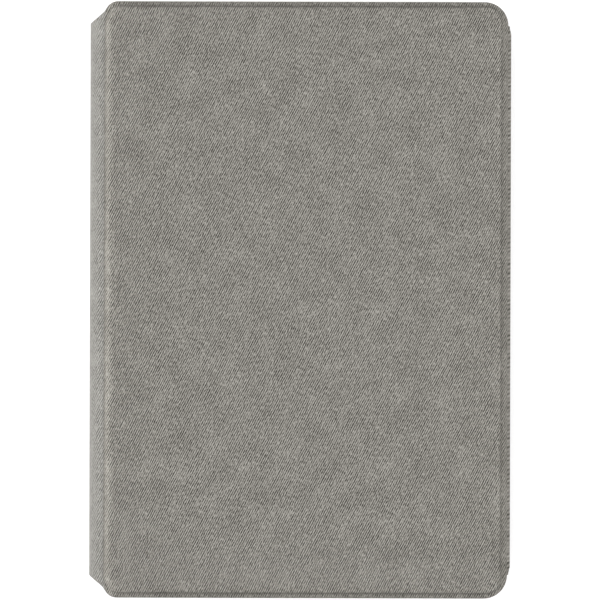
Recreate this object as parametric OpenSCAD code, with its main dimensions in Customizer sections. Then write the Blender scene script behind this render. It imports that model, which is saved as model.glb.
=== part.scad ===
// Fabric folio case for a tablet. The rear cover carries a lifting tray that holds the tablet, the front
// cover carries a keyboard, and a soft spine joins the two. Modelled closed, lying on its rear cover.
// +X points from the spine to the free edge, +Y along the spine, +Z up, origin under the middle.

/* [Case] */
// Width from the spine to the free edge
case_w = 179.4; // [179:0.1:182]
// Length along the spine
case_len = 254; // [253:0.5:260]
// Thickness when closed
case_t = 24; // [24:0.1:24.4]
// Corner radius at the free edge
corner_r = 10; // [6:0.5:14]
// Corner radius of the raised board panel
board_r = 6; // [3:0.5:8]
// Width of the bonded flange at the free edge
flange_edge = 3.9; // [3:0.1:5]
// Width of the bonded flange at the two ends
flange_end = 1.7; // [1.5:0.1:2.4]
// Thickness of the outer fabric
skin_t = 0.8; // [0.6:0.05:0.9]
// Thickness of the stiff boards
board_t = 1.3; // [1.2:0.05:1.4]
// Thickness of the soft lining
lining_t = 0.7; // [0.6:0.05:0.8]

/* [Tablet holder] */
// Width of the tablet that fits
tablet_w = 169.5; // [168:0.1:169.5]
// Length of the tablet that fits
tablet_len = 240; // [236:0.5:240]
// Corner radius of the tablet
tablet_r = 8; // [6:0.5:10]
// Thickness of the tray plate
tray_t = 2.6; // [2.5:0.05:2.7]
// Wall thickness of the corner clips
clip_t = 1.2; // [1:0.1:1.3]
// Length of the prop flap from its hinge to its foot
prop_len = 78; // [70:1:78]
// Travel of the sprung clamp slider
clamp_travel = 8; // [4:1:10]

/* [Keyboard] */
// Key spacing along the rows
key_pitch = 16.9; // [16.4:0.1:17]
// Spacing from one row to the next
row_pitch = 17.2; // [16.8:0.1:17.4]
// Depth of the narrow function row
function_pitch = 10; // [9:0.5:11]
// Gap between neighbouring key caps
key_gap = 1.9; // [1.6:0.1:2.4]
// Height of the key caps above the deck
key_rise = 1.2; // [1:0.1:1.3]

/* [Hidden] */

$fn = 48;
eps = 0.01;

// Case outline
x_spine = -case_w / 2;
x_edge = case_w / 2;
y_end = case_len / 2;
x_cover = x_spine + 5.7;          // where the covers stop and the soft fold begins
x_panel = x_edge - flange_edge;   // free edge of the raised panel
x_board = x_cover + 1.2;          // spine side of the board inside the panel
y_panel = y_end - flange_end;
cover_t = skin_t + board_t + lining_t;
fold_h = 6.2;                     // height of each soft fold at the spine
spine_y = y_end - 9.4;            // the spine stops short of the cover ends
fold_y = y_end - 4.7;
spine_side_r = 7;                 // panel corners beside the spine

// Heights of the layers, from the table up
z_lining = cover_t;               // inner face of the rear lining
pivot_z = z_lining + 1.6;         // tray hinge, prop hinge and prop foot
tray_z = pivot_z - 0.7;           // underside of the tray
seat_z = tray_z + tray_t;         // top of the tray
pad_t = 0.3;
lip_z = seat_z + 7.65;            // underside of the clip lips
clip_top = lip_z + 0.55;
z_front = case_t - cover_t;       // inner face of the front lining
tape_t = 0.2;
case_back_z = z_front - tape_t;   // back of the keyboard
deck_z = z_front - 5.3;           // face of the keyboard deck
deck_t = 1;
skirt_z = deck_z + 2.5;           // joint between the deck's skirt and the bottom case
floor_z = case_back_z - 0.8;
plate_z = deck_z + 3;             // steel plate under the membrane
key_z = deck_z - key_rise;
cap_t = 1.8;

// Tray
x_pivot = -83.4;
x_tray = x_pivot - clip_t;
x_tablet_end = x_pivot + tablet_w;
x_slider = 79;
pin_r = 0.7;
bore_r = 0.75;
barrel_r = 1.3;
hinge_ys = [-70, 70];
lug_in = 6;                       // half width of the tray knuckle, with its side gap
lug_out = 10.5;
x_prop = x_pivot + prop_len;
x_foot = x_pivot + 2 * prop_len;
window_y = 34.5;
tray_y = 119;
rail_ys = [-80, 80];
stand_magnet_x = -17.5;

// Keyboard
deck_x0 = -80;
deck_x1 = 84.5;
deck_y = 121;
wall = 1.5;
first_row_x = -48;
row_y = 7 * key_pitch;
screw_at = [[-76, -112], [-76, 0], [-76, 112], [32, -117], [32, 117], [81, -112], [81, 0], [81, 112]];
battery_ys = [-65, 10];
socket_x = 66.5;
switch_x = 46.5;
button_at = [50, 100];
light_ys = [84, 90];

// Each key is [row, start, width], with starts and widths in key pitches and row -1 the function row
function_row = [for (i = [0:13]) [-1, i, 1]];
number_row = [for (i = [0:11]) [0, i, 1]];
top_letter_row = concat([for (i = [0:10]) [1, 1.5 + i, 1]], [[1, 12.5, 1.5]]);
home_letter_row = [for (i = [0:9]) [2, 1.75 + i, 1]];
bottom_letter_row = [for (i = [0:8]) [3, 2.25 + i, 1]];
modifier_row = [for (i = [0:2]) [4, i, 1]];
backspace = [0, 12, 2];
tab = [1, 0, 1.5];
caps_lock = [2, 0, 1.75];
enter = [2, 11.75, 2.25];
shift_left = [3, 0, 2.25];
shift_right = [3, 11.25, 1.75];
arrow_up = [3, 13, 1];
command_left = [4, 3, 1.25];
space = [4, 4.25, 5.5];
command_right = [4, 9.75, 1.25];
arrow_left = [4, 11, 1];
arrow_down = [4, 12, 1];
arrow_right = [4, 13, 1];
all_keys = concat(function_row, number_row, top_letter_row, home_letter_row, bottom_letter_row,
    modifier_row, [backspace, tab, caps_lock, enter, shift_left, shift_right, arrow_up, command_left,
    space, command_right, arrow_left, arrow_down, arrow_right]);

function key_x(k) = first_row_x + (k[0] < 0 ? -(row_pitch + function_pitch) / 2 : k[0] * row_pitch);
function key_y(k) = row_y - (k[1] + k[2] / 2) * key_pitch;
function key_depth(k) = (k[0] < 0 ? function_pitch : row_pitch) - key_gap;
function key_width(k) = k[2] * key_pitch - key_gap;

// Points of an arc about a centre, from one angle to another
function arc(c, r, from, to, n = 8) =
    [for (i = [0:n]) c + r * [cos(from + (to - from) * i / n), sin(from + (to - from) * i / n)]];

// Outline of a rectangle with its own corner radius on the left and on the right
function plan(x0, x1, y, r_left, r_right, n = 8) = concat(
    arc([x1 - r_right, y - r_right], r_right, 0, 90, n),
    arc([x0 + r_left, y - r_left], r_left, 90, 180, n),
    arc([x0 + r_left, -y + r_left], r_left, 180, 270, n),
    arc([x1 - r_right, -y + r_right], r_right, 270, 360, n));

module slab(points, z0, z1) {
    translate([0, 0, z0]) linear_extrude(z1 - z0) polygon(points);
}

module box(x0, x1, y0, y1, z0, z1) {
    translate([x0, y0, z0]) cube([x1 - x0, y1 - y0, z1 - z0]);
}

// A bar along the spine, centred on y
module rod_y(x, z, r, len, y = 0) {
    translate([x, y, z]) rotate([90, 0, 0]) cylinder(r = r, h = len, center = true);
}

module disc(x, y, z0, z1, r) {
    translate([x, y, z0]) cylinder(r = r, h = z1 - z0);
}

// Turns a rear cover piece into the matching front cover piece
module as_front() {
    translate([0, 0, case_t]) mirror([0, 0, 1]) children();
}

// Cover layers, modelled for the rear cover
module cover_fabric() {
    difference() {
        union() {
            slab(plan(x_cover, x_edge, y_end, 5, corner_r), cover_t - lining_t - skin_t, cover_t - lining_t);
            slab(plan(x_cover, x_panel, y_panel, spine_side_r, board_r), 0, board_t + eps);
        }
        slab(plan(x_board, x_panel - skin_t, y_panel - skin_t, spine_side_r - skin_t, board_r - skin_t),
            skin_t, cover_t - lining_t + eps);
    }
}

module cover_board() {
    difference() {
        slab(plan(x_board, x_panel - skin_t, y_panel - skin_t, spine_side_r - skin_t, board_r - skin_t),
            skin_t, skin_t + board_t);
        children();
    }
}

module cover_lining() {
    difference() {
        slab(plan(x_cover, x_edge, y_end, 5, corner_r), cover_t - lining_t, cover_t);
        children();
    }
}

module magnet(x, y) {
    disc(x, y, skin_t, skin_t + board_t, 4);
}

module closing_magnets() {
    for (y = [-80, 0, 80]) magnet(76, y);
}

module stand_magnets() {
    for (y = [-20, 20]) magnet(stand_magnet_x, y);
}

// Soft fold between a cover and the spine: a quarter round skin with its ends cut on the slant
module hinge_fold() {
    intersection() {
        rotate([90, 0, 0]) linear_extrude(2 * y_end, center = true) difference() {
            translate([x_cover, fold_h]) scale([(x_cover - x_spine) / fold_h, 1]) circle(r = fold_h);
            translate([x_cover, fold_h]) scale([(x_cover - x_spine - 2.3) / (fold_h - 2.3), 1])
                circle(r = fold_h - 2.3);
            translate([x_cover, -1]) square([20, 20]);
            translate([x_spine - 1, fold_h]) square([20, 20]);
        }
        slab([[x_cover, fold_y], [x_spine, spine_y], [x_spine, -spine_y], [x_cover, -fold_y]], -1, fold_h + 1);
    }
}

module rear_outer_fabric() {
    color("#8b8882") cover_fabric();
}

module rear_board() {
    color("#3a3a3c") cover_board() {
        for (y = [-80, 0, 80]) disc(76, y, 0, cover_t, 4);
        for (y = [-20, 20]) disc(stand_magnet_x, y, 0, cover_t, 4);
        rivet_holes();
    }
}

module rear_lining() {
    color("#4c4b4a") cover_lining() rivet_holes();
}

module rear_magnets() {
    color("silver") {
        closing_magnets();
        stand_magnets();
    }
}

module rear_hinge_fabric() {
    color("#aaa9a5") hinge_fold();
}

module front_outer_fabric() {
    color("#8b8882") as_front() cover_fabric();
}

module front_board() {
    color("#3a3a3c") as_front() cover_board() for (y = [-80, 0, 80]) disc(76, y, 0, cover_t, 4);
}

module front_lining() {
    color("#4c4b4a") as_front() cover_lining();
}

module front_magnets() {
    color("silver") as_front() closing_magnets();
}

module front_hinge_fabric() {
    color("#aaa9a5") as_front() hinge_fold();
}

module spine_outer_fabric() {
    color("#aaa9a5") box(x_spine, x_spine + 1, -spine_y, spine_y, fold_h, case_t - fold_h);
}

module spine_stiffener() {
    color("#3a3a3c") box(x_spine + 1, x_spine + 1.8, -spine_y + 2, spine_y - 2, fold_h + 0.4, case_t - fold_h - 0.4);
}

module spine_lining() {
    color("#4c4b4a") difference() {
        box(x_spine + 1, x_spine + 2.3, -spine_y, spine_y, fold_h, case_t - fold_h);
        box(x_spine + 0.5, x_spine + 1.8, -spine_y + 2, spine_y - 2, fold_h + 0.4, case_t - fold_h - 0.4);
    }
}

// Tray hinge
module rivet_holes() {
    for (y = hinge_ys) for (dy = [-6, 6]) disc(-76, y + dy, skin_t + eps, cover_t + 1, 0.8);
}

module tray_hinge_base() {
    color("silver") for (y = hinge_ys) difference() {
        union() {
            box(-81.5, -72, y - lug_out, y + lug_out, z_lining, z_lining + 0.5);
            for (s = [-1, 1]) {
                yc = y + s * (lug_in + lug_out) / 2;
                w = lug_out - lug_in - 0.2;
                rod_y(x_pivot, pivot_z, barrel_r, w, yc);
                box(x_pivot, -81.5, yc - w / 2, yc + w / 2, z_lining, z_lining + 0.5);
                box(x_pivot - 0.6, x_pivot + 0.9, yc - w / 2, yc + w / 2, z_lining, pivot_z);
            }
        }
        rod_y(x_pivot, pivot_z, bore_r, 4 * lug_out, y);
        for (dy = [-6, 6]) {
            disc(-76, y + dy, 0, 10, 0.8);
            disc(-76, y + dy, z_lining + 0.15, 10, 1.5);
        }
    }
}

module tray_hinge_rivets() {
    color("silver") for (y = hinge_ys) for (dy = [-6, 6]) {
        disc(-76, y + dy, skin_t + 0.1, z_lining + 0.3, 0.78);
        disc(-76, y + dy, z_lining + 0.15, z_lining + 0.5, 1.45);
    }
}

module tray_hinge_pins() {
    color("gray") for (y = hinge_ys) rod_y(x_pivot, pivot_z, pin_r, 2 * lug_out, y);
}

// Tray that holds the tablet
module tablet_tray() {
    color("#3d3d3f") difference() {
        union() {
            difference() {
                slab(plan(x_tray, x_slider - 0.4, tray_y, 7, 3), tray_z, seat_z);
                box(x_prop - 2.6, x_foot + 2, -window_y, window_y, 0, 10);
                for (y = hinge_ys) box(x_tray - 1, -81.2, y - lug_out - 0.4, y + lug_out + 0.4, 0, 10);
                for (y = rail_ys) box(40, x_slider, y - 7.2, y + 7.2, pivot_z - 0.2, pivot_z + 1.4);
            }
            for (y = hinge_ys) {
                rod_y(x_pivot, pivot_z, barrel_r, 2 * lug_in - 0.2, y);
                box(x_pivot, -81, y - lug_in + 0.1, y + lug_in - 0.1, tray_z, seat_z);
            }
            for (y = [-26.4, 26.4]) {
                rod_y(x_prop, pivot_z, barrel_r, 12, y);
                box(x_prop - 2.7, x_prop, y - 6, y + 6, pivot_z, seat_z);
            }
            for (y = [-33.4, 33.4]) box(x_prop - 2.7, x_prop + 0.6, y - 1.2, y + 1.2, pivot_z + 0.9, seat_z);
        }
        for (y = hinge_ys) rod_y(x_pivot, pivot_z, bore_r, 4 * lug_in, y);
        rod_y(x_prop, pivot_z, bore_r, 66);
    }
}

module tray_pads() {
    color("#2a2a2b") for (x = [-60, 25], y = [-100, 60])
        box(x - 6, x + 6, y, y + 40, seat_z, seat_z + pad_t);
}

// Walls and lips that hold the tablet at the corners of one long side, as a strip of x
module corner_clips(x0, x1) {
    reach = 26;
    intersection() {
        union() {
            difference() {
                slab(plan(x_pivot - clip_t, x_tablet_end + clip_t, tablet_len / 2 + clip_t,
                    tablet_r + clip_t, tablet_r + clip_t), seat_z, clip_top);
                slab(plan(x_pivot, x_tablet_end, tablet_len / 2, tablet_r, tablet_r), 0, lip_z);
                slab(plan(x_pivot + 1.5, x_tablet_end - 1.5, tablet_len / 2 - 1.5,
                    tablet_r - 1.5, tablet_r - 1.5), 0, 30);
            }
            // Feet that carry the walls out from the tray
            difference() {
                slab(plan(x_pivot - clip_t, x_tablet_end + clip_t, tablet_len / 2 + clip_t,
                    tablet_r + clip_t, tablet_r + clip_t), seat_z, seat_z + 0.3);
                slab(plan(x_pivot + 8, x_tablet_end - 6, tablet_len / 2 - 6, 4, 4), 0, 30);
            }
        }
        for (s = [-1, 1]) translate([0, s * (tablet_len / 2 - reach / 2 + clip_t), 0])
            box(x0, x1, -reach / 2, reach / 2, seat_z, clip_top);
    }
}

module lower_clips() {
    color("#2f2f31") corner_clips(x_tray, x_tray + 22);
}

module upper_clips() {
    color("#2f2f31") corner_clips(x_slider + 0.2, x_tablet_end + clip_t);
}

module clamp_slider() {
    color("#3d3d3f") {
        slab(plan(x_slider, x_tablet_end + clip_t, tray_y, 1, 7), tray_z, seat_z);
        for (y = rail_ys) box(62, x_slider + eps, y - 7, y + 7, pivot_z - 0.05, pivot_z + 1.25);
    }
}

// Close-wound spring lying along +X
module spring(x0, x1, wire_r, coil_r) {
    turns = floor((x1 - x0) / (2 * wire_r));
    translate([x0, 0, 0]) rotate([0, 90, 0]) rotate_extrude() {
        square([coil_r, x1 - x0]);
        for (i = [0:turns - 1]) translate([coil_r, (2 * i + 1) * wire_r]) circle(r = wire_r, $fn = 16);
    }
}

module clamp_springs() {
    color("silver") for (y = rail_ys) translate([0, y, pivot_z + 0.6]) spring(40, 62, 0.3, 0.35);
}

module prop_flap() {
    color("#4a4a4c") difference() {
        union() {
            slab(plan(x_prop + 1.8, x_foot + 0.2, 33, 2, 1), pivot_z - 0.7, pivot_z + 0.7);
            box(x_prop, x_prop + 2.5, -20, 20, pivot_z - 0.7, pivot_z + 0.7);
            rod_y(x_prop, pivot_z, barrel_r, 40);
        }
        rod_y(x_prop, pivot_z, bore_r, 60);
    }
}

module prop_pin() {
    color("silver") rod_y(x_prop, pivot_z, pin_r, 65);
}

module prop_foot() {
    color("#1f1f20") difference() {
        rod_y(x_foot, pivot_z, 1.25, 60);
        box(x_foot - 3, x_foot + 0.2, -33, 33, pivot_z - 0.7, pivot_z + 0.7);
    }
}

// Keyboard housing
module side_cutouts() {
    box(socket_x - 4.6, socket_x + 4.6, 110, 130, deck_z + 1.1, deck_z + 4.3);
    box(switch_x - 2, switch_x + 5, 110, 130, deck_z + 1.7, deck_z + 3.3);
}

module keyboard_deck() {
    color("#d9dadb") difference() {
        union() {
            difference() {
                slab(plan(deck_x0, deck_x1, deck_y, 6, 6), deck_z, skirt_z);
                slab(plan(deck_x0 + wall, deck_x1 - wall, deck_y - wall, 4.5, 4.5), deck_z + deck_t, 30);
            }
            for (p = screw_at) disc(p[0], p[1], deck_z + deck_t - eps, floor_z, 1.9);
        }
        for (k = all_keys) translate([key_x(k), key_y(k), 0])
            slab(plan(-key_depth(k) / 2 - 0.3, key_depth(k) / 2 + 0.3, key_width(k) / 2 + 0.3, 1.5, 1.5, 3),
                deck_z - 1, deck_z + deck_t + 0.2);
        for (p = screw_at) disc(p[0], p[1], deck_z + deck_t + 0.5, 30, 0.85);
        disc(button_at[0], button_at[1], deck_z - 1, deck_z + 2, 2.7);
        for (y = light_ys) disc(50, y, deck_z - 1, deck_z + 2, 0.95);
        side_cutouts();
    }
}

module keyboard_bottom_case() {
    color("#c4c5c7") difference() {
        union() {
            difference() {
                slab(plan(deck_x0, deck_x1, deck_y, 6, 6), skirt_z, case_back_z);
                slab(plan(deck_x0 + wall, deck_x1 - wall, deck_y - wall, 4.5, 4.5), skirt_z - 1, floor_z);
            }
            for (x = [-58, -38, -18, 2, 22]) box(x - 0.5, x + 0.5, -112, 112, plate_z + 0.3, floor_z + eps);
        }
        for (p = screw_at) {
            disc(p[0], p[1], floor_z - 1, 30, 1);
            disc(p[0], p[1], floor_z + 0.3, 30, 2);
        }
        side_cutouts();
    }
}

module mounting_tape() {
    color("#222222") for (x = [-66, -20, 45]) box(x - 8, x + 8, -105, 105, case_back_z, z_front);
}

module case_screws() {
    color("silver") for (p = screw_at) {
        disc(p[0], p[1], deck_z + deck_t + 0.7, floor_z + 0.4, 0.8);
        disc(p[0], p[1], floor_z + 0.3, case_back_z, 1.9);
    }
}

module screen_bumpers() {
    color("#1f1f20") {
        for (x = [-78, 82], y = [-50, 50]) box(x - 1.5, x + 1.5, y - 8, y + 8, deck_z - 1.75, deck_z);
        for (y = [-119.3, 119.3]) box(-8, 8, y - 0.9, y + 0.9, deck_z - 1.75, deck_z);
    }
}

// Key switches
module dome_sheet() {
    color("#c9c2b4") {
        box(-69, 30, -119, 119, plate_z - 0.5, plate_z - 0.3);
        for (k = all_keys) {
            disc(key_x(k), key_y(k), plate_z - 1.3, plate_z - 0.5 + eps, 2.6);
            disc(key_x(k), key_y(k), key_z + cap_t, plate_z - 1.3 + eps, 1.5);
        }
    }
}

module scissor_links() {
    color("whitesmoke") for (k = all_keys, s = [-1, 1])
        translate([key_x(k), key_y(k) + 4.4 * s, (key_z + cap_t + plate_z - 0.5) / 2])
            rotate([0, 8 * s, 0]) cube([k[0] < 0 ? 5 : 9, 0.8, 0.35], center = true);
}

module circuit_membrane() {
    color("#6f9a6a") {
        box(-69, 30, -119, 119, plate_z - 0.3, plate_z);
        box(30, 36, 70, 95, plate_z - 0.3, plate_z);
    }
}

module support_plate() {
    color("gray") box(-69, 30, -114.5, 114.5, plate_z, plate_z + 0.3);
}

module main_board() {
    board_z = plate_z;
    color("#1f5a34") difference() {
        box(36.5, 78, 52, 116.5, board_z, board_z + 0.8);
        box(socket_x - 4.7, socket_x + 4.7, 112, 120, 0, 30);
    }
    color("#222222") {
        box(54, 64, 66, 76, board_z - 1.1, board_z);
        box(42, 48, 56, 64, board_z - 0.8, board_z);
        disc(button_at[0], button_at[1], board_z - 1.1, board_z, 2);
    }
}

module battery_cells() {
    color("#b8bcc2") for (y = battery_ys) box(36, 76, y - 34, y + 34, deck_z + 1.4, deck_z + 4.1);
}

module usb_socket() {
    z = deck_z + 2.7;
    color("silver") difference() {
        box(socket_x - 4.5, socket_x + 4.5, 113.5, 120.9, z - 1.55, z + 1.55);
        box(socket_x - 4.2, socket_x + 4.2, 114.5, 122, z - 1.25, z + 1.25);
    }
    color("#222222") box(socket_x - 3.3, socket_x + 3.3, 114.5, 119.5, z - 0.35, z + 0.35);
}

module power_switch() {
    z = deck_z + 2.5;
    color("#1f1f20") {
        box(switch_x - 1.5, switch_x + 1.5, 118.5, 121.8, z - 0.65, z + 0.65);
        box(switch_x - 3, switch_x + 3, 117.6, 119.3, z - 0.95, z + 0.95);
    }
}

module connect_button() {
    color("#1f1f20") {
        disc(button_at[0], button_at[1], deck_z - 0.4, deck_z + deck_t + 0.3, 2.5);
        disc(button_at[0], button_at[1], deck_z + deck_t, deck_z + deck_t + 0.3, 3.2);
    }
}

module indicator_lights() {
    color("white") for (y = light_ys) disc(50, y, deck_z, deck_z + deck_t + 0.3, 0.9);
}

// A key cap: a flat top with a rim under it and a post that meets the dome
module key_cap(k) {
    d = key_depth(k) / 2;
    w = key_width(k) / 2;
    translate([key_x(k), key_y(k), 0]) {
        difference() {
            slab(plan(-d, d, w, 1.3, 1.3, 3), key_z, key_z + cap_t);
            slab(plan(-d + 0.9, d - 0.9, w - 0.9, 0.6, 0.6, 3), key_z + 1.1, 30);
        }
        disc(0, 0, key_z + 1.1 - eps, key_z + cap_t, 1.5);
    }
}

module key_group(keys) {
    color("#f2f2f0") for (k = keys) key_cap(k);
}

rear_outer_fabric();
rear_board();
rear_lining();
rear_magnets();
rear_hinge_fabric();
tray_hinge_base();
tray_hinge_rivets();
tray_hinge_pins();
spine_outer_fabric();
spine_stiffener();
spine_lining();
front_hinge_fabric();
front_outer_fabric();
front_board();
front_lining();
front_magnets();
tablet_tray();
tray_pads();
lower_clips();
clamp_slider();
upper_clips();
clamp_springs();
prop_flap();
prop_pin();
prop_foot();
keyboard_deck();
keyboard_bottom_case();
mounting_tape();
case_screws();
screen_bumpers();
dome_sheet();
scissor_links();
circuit_membrane();
support_plate();
main_board();
battery_cells();
usb_socket();
power_switch();
connect_button();
indicator_lights();
key_group(function_row);  // function_keys
key_group(number_row);  // number_keys
key_group(top_letter_row);  // top_letter_keys
key_group(home_letter_row);  // home_letter_keys
key_group(bottom_letter_row);  // bottom_letter_keys
key_group(modifier_row);  // modifier_keys
key_group([backspace]);  // key_backspace
key_group([tab]);  // key_tab
key_group([caps_lock]);  // key_caps_lock
key_group([enter]);  // key_enter
key_group([shift_left]);  // key_shift_left
key_group([shift_right]);  // key_shift_right
key_group([command_left]);  // key_command_left
key_group([command_right]);  // key_command_right
key_group([space]);  // space_bar
key_group([arrow_up]);  // key_arrow_up
key_group([arrow_left]);  // key_arrow_left
key_group([arrow_down]);  // key_arrow_down
key_group([arrow_right]);  // key_arrow_right
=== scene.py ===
import math

import bmesh
import bpy
from mathutils import Matrix, Vector, noise


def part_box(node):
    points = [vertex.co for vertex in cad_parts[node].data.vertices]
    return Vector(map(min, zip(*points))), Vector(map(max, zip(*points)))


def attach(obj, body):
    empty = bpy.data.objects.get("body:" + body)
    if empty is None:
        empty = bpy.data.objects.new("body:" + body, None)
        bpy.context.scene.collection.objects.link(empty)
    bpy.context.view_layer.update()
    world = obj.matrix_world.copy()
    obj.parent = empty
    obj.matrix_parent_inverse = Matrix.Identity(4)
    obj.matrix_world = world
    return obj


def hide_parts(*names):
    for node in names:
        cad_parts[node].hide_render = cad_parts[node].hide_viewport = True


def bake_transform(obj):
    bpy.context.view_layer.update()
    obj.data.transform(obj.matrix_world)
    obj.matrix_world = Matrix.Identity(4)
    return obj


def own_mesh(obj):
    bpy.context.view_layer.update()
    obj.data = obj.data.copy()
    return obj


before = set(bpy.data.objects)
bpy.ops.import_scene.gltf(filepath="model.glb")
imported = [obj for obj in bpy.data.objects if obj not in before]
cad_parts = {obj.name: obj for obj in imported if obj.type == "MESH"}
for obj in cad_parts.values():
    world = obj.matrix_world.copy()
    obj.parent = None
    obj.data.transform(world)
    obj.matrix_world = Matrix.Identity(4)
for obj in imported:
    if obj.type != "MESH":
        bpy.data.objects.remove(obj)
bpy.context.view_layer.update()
MM = 0.001

# ---------------------------------------------------------------- frame sizes
cover_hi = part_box("front_outer_fabric")[1]
lining_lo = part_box("front_lining")[0]
spine_lo, spine_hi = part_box("spine_outer_fabric")
fold_lo, fold_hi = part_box("front_hinge_fabric")
CASE_T = cover_hi.z
SPINE_X = spine_lo.x
SPINE_Y = spine_hi.y
FOLD_X = fold_hi.x
FOLD_Z = fold_lo.z
FOLD_Y = fold_hi.y


# ---------------------------------------------------------------- node helpers
class Shader:
    """A material's node tree with short calls for the nodes used here."""

    def __init__(self, name):
        self.material = bpy.data.materials.new(name)
        self.material.use_nodes = True
        self.tree = self.material.node_tree
        self.bsdf = self.tree.nodes["Principled BSDF"]

    def add(self, kind, inputs=(), **props):
        made = self.tree.nodes.new("ShaderNode" + kind)
        for key, value in props.items():
            setattr(made, key, value)
        for key, value in dict(inputs).items():
            self.feed(made.inputs[key], value)
        return made

    def feed(self, socket, value):
        if isinstance(value, bpy.types.NodeSocket):
            self.tree.links.new(value, socket)
        else:
            socket.default_value = value

    def math(self, op, a, b=0.0):
        return self.add("Math", {0: a, 1: b}, operation=op).outputs[0]

    def sum(self, *terms):
        total = terms[0]
        for term in terms[1:]:
            total = self.math("ADD", total, term)
        return total

    def dot(self, vector, direction):
        return self.add("VectorMath", {0: vector, 1: direction}, operation="DOT_PRODUCT").outputs["Value"]

    def pair(self, x, y):
        return self.add("CombineXYZ", {"X": x, "Y": y}).outputs[0]

    def noise(self, vector, scale, detail=2.0, rough=0.5):
        made = self.add("TexNoise", {"Vector": vector, "Scale": scale, "Detail": detail, "Roughness": rough})
        return self.math("SUBTRACT", made.outputs["Fac"], 0.5)

    def ramp(self, factor, stops):
        made = self.add("ValToRGB", {"Fac": factor})
        points = made.color_ramp.elements
        while len(points) < len(stops):
            points.new(0.5)
        for point, (at, colour) in zip(points, stops):
            point.position = at
            point.color = (*colour, 1)
        return made.outputs["Color"]

    def tint(self, colour, value):
        """Multiplies a colour by a number."""
        made = self.add("VectorMath", {0: colour, 3: value}, operation="SCALE")
        return made.outputs["Vector"]

    def bump(self, height, distance, strength=1.0):
        made = self.add("Bump", {"Height": height, "Distance": distance, "Strength": strength})
        self.feed(self.bsdf.inputs["Normal"], made.outputs["Normal"])

    def set(self, **inputs):
        for key, value in inputs.items():
            self.feed(self.bsdf.inputs[key.replace("_", " ")], value)
        return self.material


# ---------------------------------------------------------------- materials
TWILL_ALONG = Vector((0.454, 0.891, 0))      # the way the twill lines lean, on the cloth
TWILL_ACROSS = Vector((0.891, -0.454, 0))
TWILL_PITCH = 0.861                          # mm from one twill line to the next


def twill(name, shades, gain=1.0):
    """Grey melange twill. The cloth attribute is where each point lies on the flat cloth, in mm. The painted
    light attribute is a colour factor: painted shade in creases and on the flange, and a painted highlight on
    ridges that face the key light. Relief is how strongly the weave shows there."""
    s = Shader(name)
    cloth = s.add("Attribute", attribute_name="cloth").outputs["Vector"]
    painted_light = s.add("Attribute", attribute_name="painted_light").outputs["Fac"]
    relief = s.add("Attribute", attribute_name="relief").outputs["Fac"]
    across = s.dot(cloth, TWILL_ACROSS)
    along = s.dot(cloth, TWILL_ALONG)
    wander = s.noise(cloth, 0.05, 2.0)
    jitter = s.noise(s.pair(s.math("MULTIPLY", across, 0.9), s.math("MULTIPLY", along, 0.55)), 1.0, 1.0)
    yarn = s.noise(s.pair(s.math("MULTIPLY", across, 1.3), s.math("MULTIPLY", along, 0.8)), 1.0, 1.0)
    dash = s.noise(s.pair(s.math("MULTIPLY", across, 0.75), s.math("MULTIPLY", along, 0.62)), 1.0, 1.0)
    streak = s.noise(s.pair(s.math("MULTIPLY", across, 0.4), s.math("MULTIPLY", along, 0.14)), 1.0, 2.0)
    mottle = s.noise(cloth, 0.95, 2.0, 0.7)
    patch = s.noise(cloth, 0.09, 2.0)
    fibre = s.noise(cloth, 4.0, 2.0, 0.7)
    phase = s.sum(
        s.math("MULTIPLY", across, math.tau / TWILL_PITCH),
        s.math("MULTIPLY", wander, 6.0),
        s.math("MULTIPLY", jitter, 2.0))
    evenness = s.sum(0.33, s.math("MULTIPLY", dash, -1.3), s.math("MULTIPLY", streak, -0.7))
    depth = s.math("MAXIMUM", evenness, 0.04)
    height = s.sum(
        s.math("MULTIPLY", s.math("SINE", phase), depth),
        s.math("MULTIPLY", dash, 0.33),
        s.math("MULTIPLY", yarn, 0.95),
        s.math("MULTIPLY", mottle, 0.32),
        s.math("MULTIPLY", fibre, 1.25))
    shade = s.sum(
        s.math("MULTIPLY", s.math("MULTIPLY", height, relief), gain),
        s.math("MULTIPLY", streak, 0.28),
        s.math("MULTIPLY", patch, 0.27),
        0.5)
    colour = s.ramp(shade, [(i / (len(shades) - 1), c) for i, c in enumerate(shades)])
    s.bump(height, 0.12 * MM, 0.5)
    # The yarn colour is multiplied by the painted light and shade factor
    return s.set(Base_Color=s.tint(colour, painted_light), Roughness=0.92, Sheen_Weight=0.1, Sheen_Roughness=0.5,
                 Specular_IOR_Level=0.2)


def microfibre(name, base):
    """Brushed microfibre lining: short nap with soft clouds where it has been stroked."""
    s = Shader(name)
    place = s.add("TexCoord").outputs["Object"]
    nap = s.noise(place, 1500.0, 3.0, 0.75)
    combed = s.add("VectorMath", {0: place, 1: (1.0, 0.25, 1.0)}, operation="MULTIPLY").outputs["Vector"]
    brushed = s.noise(combed, 420.0, 2.0)
    cloud = s.noise(place, 45.0, 4.0, 0.6)
    level = s.sum(1.0, s.math("MULTIPLY", nap, 1.3), s.math("MULTIPLY", brushed, 0.5),
                  s.math("MULTIPLY", cloud, 0.9))
    s.bump(nap, 0.12 * MM, 0.8)
    return s.set(Base_Color=s.tint(base, level), Roughness=0.95, Sheen_Weight=0.35, Sheen_Roughness=0.4,
                 Specular_IOR_Level=0.15)


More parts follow.
